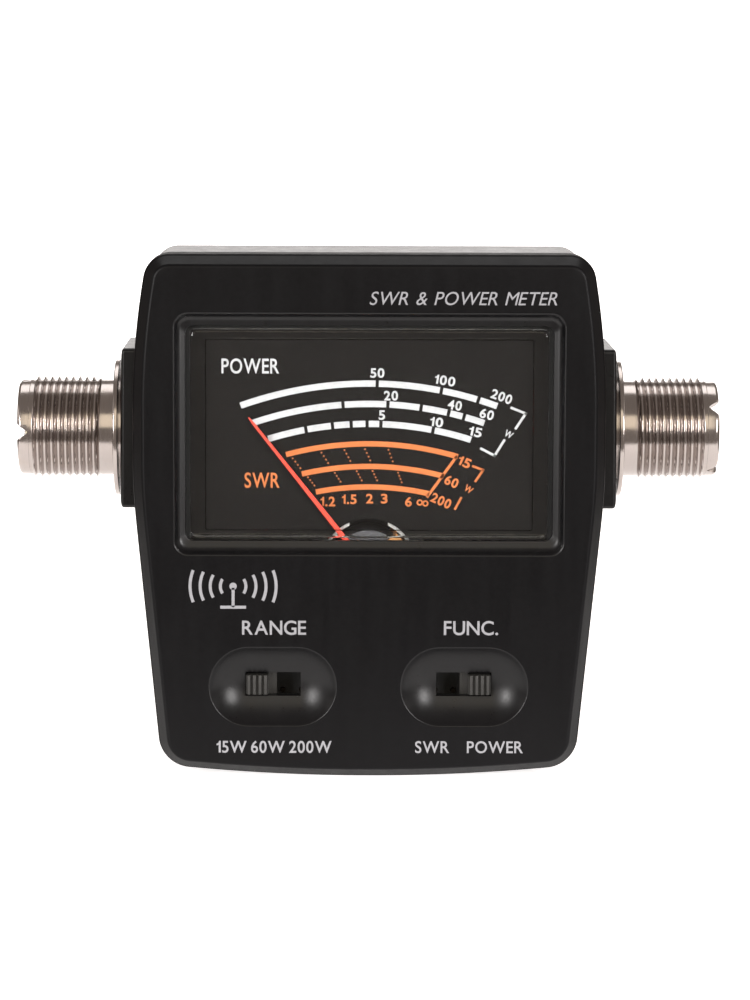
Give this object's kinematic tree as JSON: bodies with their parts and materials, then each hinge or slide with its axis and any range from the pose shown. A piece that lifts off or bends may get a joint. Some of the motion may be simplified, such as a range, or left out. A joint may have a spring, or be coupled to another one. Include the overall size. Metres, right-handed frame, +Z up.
{
  "type": "standing wave ratio and power meter",
  "caption": "Hand-sized radio test meter that reads transmitted power and standing wave ratio on a moving-coil dial, with slide switches and a coaxial socket on each side.",
  "frame": {"origin": "Middle of the case's bottom: centred in width and in depth, at the height of its lowest edge.", "axes": "+X to the right seen from the front, along the line through both sockets; -Y out of the front face with the window and the switches; +Z up."},
  "size_m": [0.1068, 0.036, 0.0784],
  "materials": {
    "case_black": "fine satin texture",
    "knob_black": "satin, ribbed top",
    "meter_black": "matte moulding",
    "clear": "clear moulded plastic, polished",
    "dial": "matte black paint with printed scales",
    "needle_red": "red lacquer",
    "nickel": "bright nickel plate",
    "zinc": "zinc plate",
    "tinplate": "tinned steel sheet",
    "steel": "plain steel",
    "magnet": "sintered magnet",
    "brass": "turned brass",
    "spring_bronze": "fine bronze strip",
    "contact_plate": "plated brass",
    "insulator": "white fluoroplastic",
    "copper": "bare copper",
    "coil": "enamelled copper wire",
    "board": "solder mask over glass fibre",
    "diode_glass": "glass body",
    "resistor": "lacquered body",
    "capacitor": "dipped body",
    "wire": "insulated hook-up wire"
  },
  "bodies": {
    "case": {"front_cover": "case_black", "rear_cover": "case_black", "case_screws": "steel", "meter_cover": "clear", "dial_plate": "dial", "meter_base": "meter_black", "meter_screws": "steel", "meter_terminals": "brass", "yoke_ring": "zinc", "core_magnet": "magnet", "core_clamp": "brass", "front_bridge": "brass", "rear_bridge": "brass", "jewel_screws": "steel", "hairsprings": "spring_bronze", "left_socket": "nickel", "right_socket": "nickel", "left_insulator": "insulator", "right_insulator": "insulator", "left_contact": "contact_plate", "right_contact": "contact_plate", "socket_nuts": "nickel", "lock_washers": "steel", "coupler_chassis": "tinplate", "main_line": "copper", "pickup_lines": "copper", "coupler_board": "board", "coupler_diodes": "diode_glass", "coupler_resistors": "resistor", "coupler_capacitors": "capacitor", "range_switch_body": "tinplate", "function_switch_body": "tinplate", "switch_terminals": "contact_plate", "switch_board": "board", "board_screws": "steel", "scale_resistors": "resistor", "hookup_wires": "wire"},
    "needle": {"pointer": "needle_red", "moving_coil": "coil", "coil_pivots": "steel", "balance_weights": "brass"},
    "range_slider": {"range_knob": "knob_black", "range_wiper": "copper"},
    "function_slider": {"function_knob": "knob_black", "function_wiper": "copper"}
  },
  "joints": [
    {"name": "needle_swing", "type": "hinge", "parent": "case", "child": "needle", "pos_m": [0, -0.0135, 0.0312], "axis": [0, 1, 0], "range_deg": [0, 75.4], "stiffness_Nm_per_rad": 0.00002, "springref_deg": -20.05, "deforming": ["hairsprings"]},
    {"name": "range_switch", "type": "slide", "parent": "case", "child": "range_slider", "axis": [1, 0, 0], "range_m": [0, 0.0047]},
    {"name": "function_switch", "type": "slide", "parent": "case", "child": "function_slider", "axis": [1, 0, 0], "range_m": [-0.0047, 0]}
  ]
}
